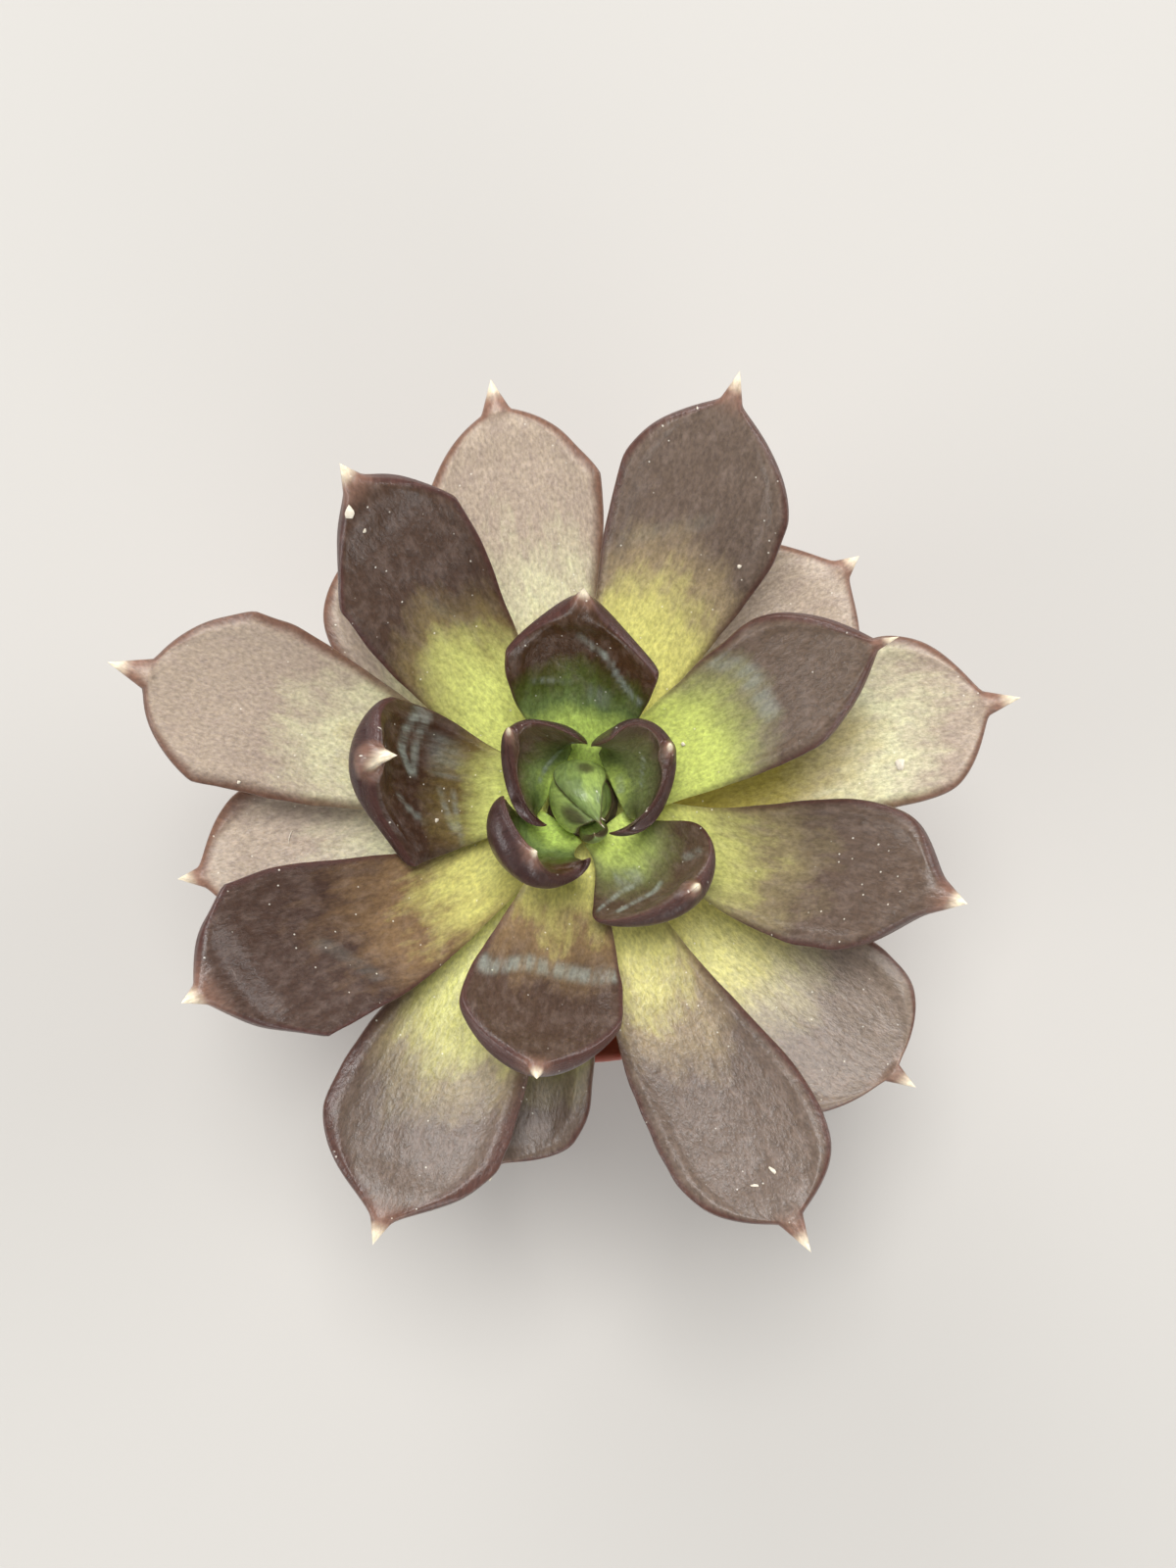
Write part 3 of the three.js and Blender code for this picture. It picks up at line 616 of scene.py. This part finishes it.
bump = addNode(tree, "ShaderNodeBump", {"Strength": 0.25, "Distance": 0.1 * mm},
               {"Height": pitted.outputs[0]})
tree.links.new(bump.outputs[0], shader.inputs["Normal"])
shader.inputs["IOR"].default_value = 1.49

bm = bmesh.new()
turnProfile(bm, pot["profile"], pot["sides"])
shell = finishPiece("nurseryPot", bm, potPlastic, "pot")

bm = bmesh.new()
for i in range(pot["drains"]):
    angle = 2 * math.pi * (i + 0.5) / pot["drains"]
    drill = bmesh.ops.create_cone(bm, cap_ends=True, segments=32, radius1=pot["drainRadius"] * mm,
                                  radius2=pot["drainRadius"] * mm, depth=pot["drillDepth"] * mm)
    at = Vector((math.cos(angle), math.sin(angle), 0)) * pot["drainCircle"] * mm
    bmesh.ops.translate(bm, verts=drill["verts"], vec=at)
drills = bpy.data.meshes.new("drills")
bm.to_mesh(drills)
bm.free()
drillObject = bpy.data.objects.new("drills", drills)
bpy.context.scene.collection.objects.link(drillObject)
cut = shell.modifiers.new("drainHoles", "BOOLEAN")
cut.operation = "DIFFERENCE"
cut.solver = "EXACT"
cut.object = drillObject
bpy.context.view_layer.update()
drilled = bpy.data.meshes.new_from_object(shell.evaluated_get(bpy.context.evaluated_depsgraph_get()))
shell.modifiers.remove(cut)
shell.data = drilled
bpy.data.objects.remove(drillObject)
shell.data.set_sharp_from_angle(angle=math.radians(40))

print("stage: soil")

# Peat potting mix: dark, crumbly, quite matt.
soil = {
    "colour": "#3a2b20",
    "light": "#5d4835",
    "top": 43,
    "crown": 1.2,
    "wallProfile": ((0, 1.4), (16.2, 1.4), (17.2, 2.4), (24.9, 43)),
    "sides": 120,
    "moundRadius": 25,
    "lumps": ((0.35, 2.4), (0.2, 0.9)),  # mm high and mm wide, unevenness of the bed
    "grainSize": 1.2,                    # mm, dark and light crumbs in the colour
    "crumbs": 520,
    "crumbRing": (5.5, 24),              # mm from the middle
    "crumbRadius": (0.25, 0.85),
}
pottingMix, tree, shader = newMaterial("peatPottingMix")
place = addNode(tree, "ShaderNodeTexCoord").outputs["Object"]
crumb = addNode(tree, "ShaderNodeTexNoise", {"Scale": 1 / (soil["grainSize"] * mm), "Detail": 6.0},
                {"Vector": place})
tint = addNode(tree, "ShaderNodeMix", {"data_type": "RGBA", 6: linear(soil["colour"]),
               7: linear(soil["light"])}, {0: crumb.outputs[0]})
tree.links.new(tint.outputs[2], shader.inputs["Base Color"])
bump = addNode(tree, "ShaderNodeBump", {"Strength": 0.9, "Distance": 0.4 * mm}, {"Height": crumb.outputs[0]})
tree.links.new(bump.outputs[0], shader.inputs["Normal"])
shader.inputs["Roughness"].default_value = 0.95

# From the wall to the stem the bed rises in a low mound.
mound = []
for radius in range(24, -1, -1):
    mound.append((radius, soil["top"] + soil["crown"] * (1 - (radius / soil["moundRadius"]) ** 2)))
bm = bmesh.new()
turnProfile(bm, (*soil["wallProfile"], *mound), soil["sides"])
for vert in bm.verts:
    if vert.co.z > 42.9 * mm and vert.co.to_2d().length < 24.5 * mm:  # the mound, not the wall
        vert.co.z += sum(high * wobble(*(vert.co / (wide * mm))) for high, wide in soil["lumps"]) * mm
finishPiece("soilBed", bm, pottingMix, "soil")

luck = random.Random(7)
inner, outer = soil["crumbRing"]
bm = bmesh.new()
for i in range(soil["crumbs"]):
    radius = math.sqrt(luck.uniform(inner ** 2, outer ** 2))
    angle = luck.uniform(0, 2 * math.pi)
    size = luck.uniform(*soil["crumbRadius"])
    grain = bmesh.ops.create_icosphere(bm, subdivisions=1, radius=size * mm)
    height = soil["top"] + soil["crown"] * (1 - radius / soil["moundRadius"]) + luck.uniform(-0.2, 0.35)
    for vert in grain["verts"]:
        vert.co *= 1 + 0.3 * wobble(*(vert.co / (0.5 * mm)))
        vert.co.z *= luck.uniform(0.65, 0.8)
    bmesh.ops.translate(bm, verts=grain["verts"],
                        vec=Vector((radius * math.cos(angle), radius * math.sin(angle), height)) * mm)
finishPiece("soilCrumbs", bm, pottingMix, None, False)

print("stage: stem")

# Cork over a fleshy core: dull brown, cracked lengthwise, with a pale lens-shaped scar where each old leaf
# came away.
stem = {
    "scar": "#a89a72",
    "bark": "#5b4a36",
    "crack": "#3f3326",
    "profile": ((0, 28), (4.6, 28), (4.6, 53), (3.1, 69), (2.5, 70), (0, 70)),
    "sides": 72,
    "rows": 70,
    "crackSize": (0.8, 0.8, 2.6),  # mm round the stem and up it
    "uneven": 0.04,                # share of the radius
    "unevenSize": 1.1,             # mm up the stem
    "scars": 14,
    "scarTop": 52.2,
    "scarPitch": 0.72,
    "scarSize": (2.1, 0.8),        # mm round the stem and up it, from the middle
    "scarLip": 0.05,               # share of the radius by which a scar's border stands out
}
corkySkin, tree, shader = newMaterial("corkyStemSkin")
place = addNode(tree, "ShaderNodeTexCoord").outputs["Object"]
scarShare = addNode(tree, "ShaderNodeAttribute", {"attribute_name": "scar"}).outputs["Fac"]
stretch = tuple(1 / (size * mm) for size in stem["crackSize"])
upright = addNode(tree, "ShaderNodeVectorMath", {"operation": "MULTIPLY", 1: stretch}, {0: place})
cork = addNode(tree, "ShaderNodeTexNoise", {"Scale": 1.0, "Detail": 5.0}, {"Vector": upright.outputs[0]})
cracks = addNode(tree, "ShaderNodeMapRange", {"From Min": 0.36, "From Max": 0.56},
                 {"Value": cork.outputs[0]})
tint = addNode(tree, "ShaderNodeMix", {"data_type": "RGBA", 6: linear(stem["crack"]),
               7: linear(stem["bark"])}, {0: cracks.outputs[0]})
scarred = addNode(tree, "ShaderNodeMix", {"data_type": "RGBA", 7: linear(stem["scar"])},
                  {0: scarShare, 6: tint.outputs[2]})
tree.links.new(scarred.outputs[2], shader.inputs["Base Color"])
bump = addNode(tree, "ShaderNodeBump", {"Strength": 0.7, "Distance": 0.3 * mm}, {"Height": cork.outputs[0]})
tree.links.new(bump.outputs[0], shader.inputs["Normal"])
shader.inputs["Roughness"].default_value = 0.8

bm = bmesh.new()
scarLayer = bm.verts.layers.float.new("scar")
turnProfile(bm, stem["profile"], stem["sides"])
tall = [edge for edge in bm.edges if abs(edge.verts[0].co.z - edge.verts[1].co.z) > 10 * mm]
bmesh.ops.subdivide_edges(bm, edges=tall, cuts=stem["rows"], use_grid_fill=True)
scarWide, scarTall = stem["scarSize"]
for vert in bm.verts:
    around = math.atan2(vert.co.y, vert.co.x)
    height = vert.co.z / mm
    lump = wobble(3 * math.cos(around), 3 * math.sin(around), height / stem["unevenSize"])
    swell = stem["uneven"] * lump
    for n in range(stem["scars"]):
        scarAround = math.radians(rosette["firstAzimuth"] - rosette["goldenAngle"] * (n + len(leafRows)))
        apart = math.remainder(around - scarAround, 2 * math.pi) * vert.co.to_2d().length / mm
        up = height - (stem["scarTop"] - stem["scarPitch"] * n)
        far = math.hypot(apart / scarWide, up / scarTall)
        swell += stem["scarLip"] * math.exp(-((far - 1) / 0.35) ** 2)
        vert[scarLayer] = max(vert[scarLayer], smooth(1.5 - far))
    vert.co.x *= 1 + swell
    vert.co.y *= 1 + swell
    offsetX, offsetY = stemCentre(height)
    vert.co += Vector((offsetX, offsetY, 0)) * mm
finishPiece("corkyStem", bm, corkySkin, "stem")

print("stage: dust")

# Lint and flakes that have settled on the wax: matt, off-white, each much smaller than a leaf.
dust = {
    "lint": "#e9e2d2",
    "shade": "#b9ac96",
    "mattedSize": 0.3,  # mm
    "hairCuts": 10,
    "hairArch": 0.25,   # mm by which a hair stands off the skin in its middle
    # leaf, share of the length, share across, then length, thickness (mm), turn and bend (degrees)
    "hairs": (
        (9, 0.877, -0.13, 2.8, 0.2, 60, 170), (9, 0.833, -0.25, 1.2, 0.18, 120, 30),
        (9, 0.771, -0.47, 2.0, 0.16, 70, 40), (16, 0.78, -0.53, 1.9, 0.16, 20, 50),
        (14, 0.66, 0.84, 1.8, 0.16, 90, 60), (14, 0.456, -0.54, 2.2, 0.15, 30, 40),
        (12, 0.452, 0.91, 1.6, 0.15, 140, 70), (12, 0.66, 0.4, 1.2, 0.12, 10, 30),
        (12, 0.36, -0.6, 1.4, 0.12, 100, 60), (19, 0.67, -0.42, 1.8, 0.12, 50, 40),
    ),
    # leaf, share of the length, share across, then length, width and thickness (mm), turn (degrees)
    "flakes": (
        (9, 0.905, 0.7, 1.9, 0.9, 0.35, 35), (9, 0.844, 0.31, 0.45, 0.4, 0.2, 0),
        (15, 0.69, -0.51, 1.4, 0.9, 0.3, 70), (13, 0.815, 0.13, 1.1, 0.35, 0.12, 20),
        (13, 0.827, -0.2, 0.9, 0.3, 0.12, 60), (14, 0.657, 0.91, 0.4, 0.35, 0.2, 0),
        (12, 0.6, -0.69, 0.5, 0.4, 0.2, 0), (7, 0.276, 0.05, 0.45, 0.4, 0.25, 0),
        (6, 0.455, 0.44, 0.45, 0.4, 0.2, 0), (2, 0.62, -0.5, 1.0, 0.45, 0.25, 120),
    ),
}
settledLint, tree, shader = newMaterial("settledLint")
place = addNode(tree, "ShaderNodeTexCoord").outputs["Object"]
matted = addNode(tree, "ShaderNodeTexNoise", {"Scale": 1 / (dust["mattedSize"] * mm), "Detail": 3.0},
                 {"Vector": place})
tint = addNode(tree, "ShaderNodeMix", {"data_type": "RGBA", 6: linear(dust["shade"]),
               7: linear(dust["lint"])}, {0: matted.outputs[0]})
tree.links.new(tint.outputs[2], shader.inputs["Base Color"])
shader.inputs["Roughness"].default_value = 0.9


# The skin's point and outward direction at a place on a leaf's upper side, and directions along and across.
def skinFrame(leaf, t, x):
    def at(t, x):
        return leafPoint(leaf, t, math.acos(clamp(x, -0.995, 0.995)), 1, midrib(leaf, t))[0]
    along = (at(t + 0.01, x) - at(t - 0.01, x)).normalized()
    across = (at(t, x + 0.02) - at(t, x - 0.02)).normalized()
    outward = across.cross(along).normalized()
    return at(t, x), outward if outward.z > 0 else -outward, along, across


bm = bmesh.new()
for number, t, x, length, thickness, turn, bend in dust["hairs"]:
    start, outward, along, across = skinFrame(grownLeaves[number - 1], t, x)
    placed = set(bm.verts)
    made = bmesh.ops.create_cone(bm, cap_ends=True, segments=5, radius1=0.5, radius2=0.2, depth=1)["verts"]
    edges = {edge for vert in made for edge in vert.link_edges}
    sides = [edge for edge in edges if abs(edge.verts[0].co.z - edge.verts[1].co.z) > 0.5]
    bmesh.ops.subdivide_edges(bm, edges=sides, cuts=dust["hairCuts"])
    for vert in [vert for vert in bm.verts if vert not in placed]:
        share = vert.co.z + 0.5
        heading = math.radians(turn + bend * (share - 0.5))
        curve = math.radians(turn + bend * 0.5 * (share - 0.5))
        forward = along * math.cos(curve) + across * math.sin(curve)
        aside = along * -math.sin(heading) + across * math.cos(heading)
        lifted = (0.4 + vert.co.y) * thickness + dust["hairArch"] * math.sin(math.pi * share)
        vert.co = start + (forward * share * length + aside * vert.co.x * thickness + outward * lifted) * mm
for number, t, x, length, width, thickness, turn in dust["flakes"]:
    start, outward, along, across = skinFrame(grownLeaves[number - 1], t, x)
    made = bmesh.ops.create_icosphere(bm, subdivisions=2, radius=0.5)["verts"]
    heading = math.radians(turn)
    forward = along * math.cos(heading) + across * math.sin(heading)
    aside = along * -math.sin(heading) + across * math.cos(heading)
    for vert in made:
        ragged = 1 + 0.5 * wobble(*(vert.co * 3.1))
        a, b, c = vert.co * ragged
        vert.co = start + (forward * a * length + aside * b * width + outward * (c + 0.2) * thickness) * mm
finishPiece("settledDust", bm, settledLint, None)

print("stage: studio")

studio = {
    "floor": "#aba8a3",
    "world": "#e9eaec",
    "worldStrength": 0.36,
    # azimuth, elevation and spread in degrees, strength: wide and high, towards the picture's top
    "skylight": (95, 74, 22, 3.0),
    "aim": (0, 0, 0.06),  # metres, what the panels face
    "panels": (  # azimuth, height, distance, size in metres, watts: a low ring of soft boxes
        (110, 0.24, 0.42, 0.22, 1.3),
        (200, 0.20, 0.42, 0.22, 0.8),
        (290, 0.20, 0.42, 0.22, 0.7),
        (20, 0.22, 0.42, 0.22, 1.0),
    ),
}
paleBoard, tree, shader = newMaterial("paleBoard")
shader.inputs["Base Color"].default_value = linear(studio["floor"])
shader.inputs["Roughness"].default_value = 0.8
bm = bmesh.new()
bmesh.ops.create_circle(bm, cap_ends=True, segments=96, radius=3)
floorMesh = bpy.data.meshes.new("floor")
bm.to_mesh(floorMesh)
bm.free()
floor = bpy.data.objects.new("floor", floorMesh)
floor.data.materials.append(paleBoard)
bpy.context.scene.collection.objects.link(floor)

world = bpy.data.worlds.new("studioAir")
world.use_nodes = True
background = world.node_tree.nodes["Background"]
background.inputs["Color"].default_value = linear(studio["world"])
background.inputs["Strength"].default_value = studio["worldStrength"]
bpy.context.scene.world = world
bpy.context.scene.view_settings.view_transform = "Standard"  # shows the hex colours as they are

azimuth, elevation, spread, strength = studio["skylight"]
lamp = bpy.data.lights.new("skylight", "SUN")
lamp.angle = math.radians(spread)
lamp.energy = strength
skylight = bpy.data.objects.new("skylight", lamp)
skylight.rotation_euler = (0, math.radians(90 - elevation), math.radians(azimuth))
bpy.context.scene.collection.objects.link(skylight)
for i, (azimuth, height, distance, size, power) in enumerate(studio["panels"]):
    lamp = bpy.data.lights.new(f"softPanel{i + 1}", "AREA")
    lamp.shape = "DISK"
    lamp.size = size
    lamp.energy = power
    panel = bpy.data.objects.new(f"softPanel{i + 1}", lamp)
    angle = math.radians(azimuth)
    panel.location = (distance * math.cos(angle), distance * math.sin(angle), height)
    facing = Vector(studio["aim"]) - panel.location
    panel.rotation_euler = facing.to_track_quat("-Z", "Y").to_euler()
    bpy.context.scene.collection.objects.link(panel)

lens = bpy.data.cameras.new("camera")
lens.lens = 66.0
lens.sensor_width = 36.0
lens.clip_start = 0.01
camera = bpy.data.objects.new("camera", lens)
camera.location = (0.0005, 0.0031, 0.365)
bpy.context.scene.collection.objects.link(camera)
bpy.context.scene.camera = camera
